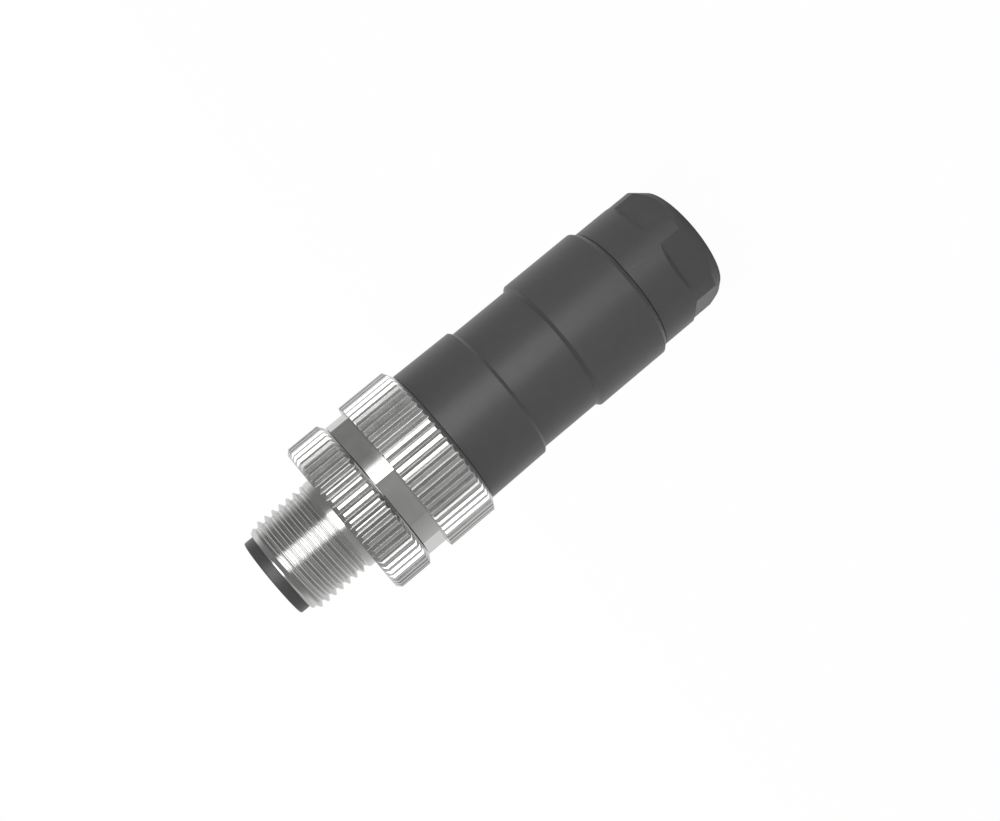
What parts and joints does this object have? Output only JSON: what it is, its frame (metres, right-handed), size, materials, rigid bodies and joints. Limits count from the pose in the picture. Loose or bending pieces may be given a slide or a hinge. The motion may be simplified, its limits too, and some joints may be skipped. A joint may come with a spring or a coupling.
{
  "type": "m12 circular connector",
  "caption": "Straight male round sensor connector with a knurled screw coupling, a hex-necked grip collar, a stepped housing and a cable gland nut with spanner flats.",
  "frame": {"origin": "centre of the gland nut's flat rear face, on which the connector stands", "axes": "+Z along the connector's axis towards the contact pins; +X through the shroud's key rib"},
  "size_m": [0.02, 0.02, 0.0608],
  "materials": {
    "moulded_black": "fine moulded satin, glass-filled polyamide",
    "insert_black": "moulded polyamide",
    "moulded_grey": "moulded natural grey",
    "seal_rubber": "moulded nitrile rubber",
    "nickel_plate": "nickel-plated turned and knurled brass",
    "spring_steel": "zinc-plated steel",
    "contact_gold": "gold-plated turned brass"
  },
  "bodies": {
    "housing": {"cable_housing": "moulded_black", "cable_seal": "seal_rubber", "clamp_cage": "moulded_grey"},
    "front_seal": {"housing_o_ring": "seal_rubber"},
    "front": {"grip_collar": "nickel_plate", "snap_ring": "spring_steel", "pin_insert": "insert_black", "insert_o_ring": "seal_rubber", "terminal_block": "insert_black", "contact_1": "contact_gold", "contact_2": "contact_gold", "contact_3": "contact_gold", "contact_4": "contact_gold", "terminal_screws": "spring_steel"},
    "coupling": {"coupling_nut": "nickel_plate"},
    "gland_ring": {"thrust_ring": "moulded_grey"},
    "gland": {"gland_nut": "moulded_black"}
  },
  "joints": [
    {"name": "collar_advance", "type": "slide", "parent": "housing", "child": "front_seal", "axis": [0, 0, 1], "range_m": [0, 0.005]},
    {"name": "collar_turn", "type": "hinge", "parent": "front_seal", "child": "front", "pos_m": [0, 0, 0.0394], "axis": [0, 0, 1], "range_deg": [0, 1800]},
    {"name": "coupling_spin", "type": "hinge", "parent": "front", "child": "coupling", "pos_m": [0, 0, 0.0484], "axis": [0, 0, 1], "continuous": true},
    {"name": "gland_advance", "type": "slide", "parent": "housing", "child": "gland_ring", "axis": [0, 0, -1], "range_m": [0, 0.0045]},
    {"name": "gland_turn", "type": "hinge", "parent": "gland_ring", "child": "gland", "pos_m": [0, 0, 0.0047], "axis": [0, 0, -1], "range_deg": [0, 1080]}
  ],
  "couplings": [
    {"joint": "collar_turn", "follows": "collar_advance", "rad_per_m": 6283.2},
    {"joint": "gland_turn", "follows": "gland_advance", "rad_per_m": 4188.8}
  ]
}
